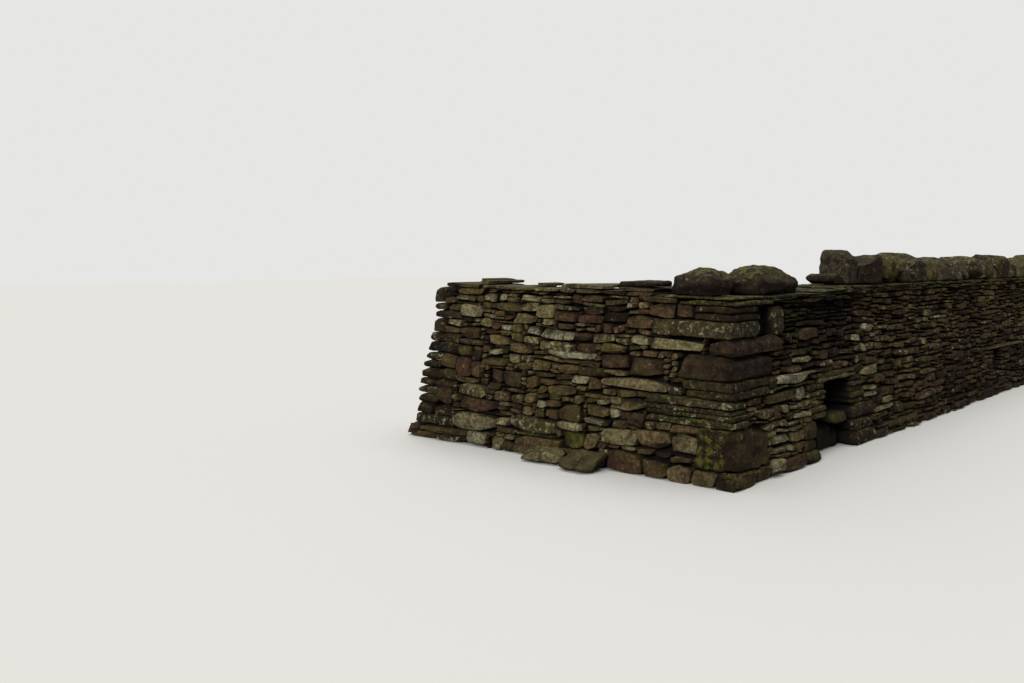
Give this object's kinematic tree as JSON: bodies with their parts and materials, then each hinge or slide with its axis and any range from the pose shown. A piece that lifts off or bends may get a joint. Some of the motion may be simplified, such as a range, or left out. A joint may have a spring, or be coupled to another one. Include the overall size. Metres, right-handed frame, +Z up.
{
  "type": "dry stone wall",
  "caption": "Dry stone field wall turning a square corner, with a creep hole, battered double faces, quoins, mossy upright cope on the long arm and ragged flags on the short arm.",
  "frame": {"origin": "on the ground where the centre lines of the two arms cross, under the corner", "axes": "+X along the long arm away from the corner, +Y along the short front arm away from the corner, +Z up"},
  "size_m": [9.286, 2.886, 1.53],
  "materials": {
    "face_stone": "rough split flaggy sandstone, lichened",
    "quoin_stone": "rough blocky sandstone, reddish and grey",
    "large_stone": "rough sandstone, damp at the foot",
    "flag_stone": "thin split flags",
    "mossy_stone": "weathered sandstone under moss",
    "loose_stone": "pale weathered sandstone"
  },
  "bodies": {
    "root": {"cope_bay_2": "mossy_stone", "cope_bay_3": "mossy_stone", "cope_bay_4": "mossy_stone", "cope_bay_5": "mossy_stone", "cope_boulder_front": "mossy_stone", "cope_boulder_return": "mossy_stone", "cope_end_block": "mossy_stone", "corner_base_boulder": "mossy_stone", "corner_flag": "quoin_stone", "cover_long": "flag_stone", "far_head_runners": "large_stone", "far_head_ties": "large_stone", "flat_block": "quoin_stone", "foot_slabs": "loose_stone", "footing_corner": "large_stone", "footing_front": "large_stone", "footing_long": "large_stone", "gate_head_runners": "large_stone", "gate_head_ties": "large_stone", "hole_lintels": "quoin_stone", "hole_stoppers": "loose_stone", "jambs_lower": "large_stone", "jambs_upper": "large_stone", "lower_bay_2": "face_stone", "lower_bay_3": "face_stone", "lower_bay_4": "face_stone", "lower_bay_5": "face_stone", "lower_corner": "face_stone", "lower_front": "face_stone", "quoins_front": "quoin_stone", "quoins_return": "quoin_stone", "throughs_front": "large_stone", "throughs_long": "large_stone", "tilted_stone": "loose_stone", "top_flags_corner": "flag_stone", "top_flags_front": "flag_stone", "upper_bay_2": "face_stone", "upper_bay_3": "face_stone", "upper_bay_4": "face_stone", "upper_bay_5": "face_stone", "upper_corner": "face_stone", "upper_front": "face_stone"}
  },
  "joints": []
}
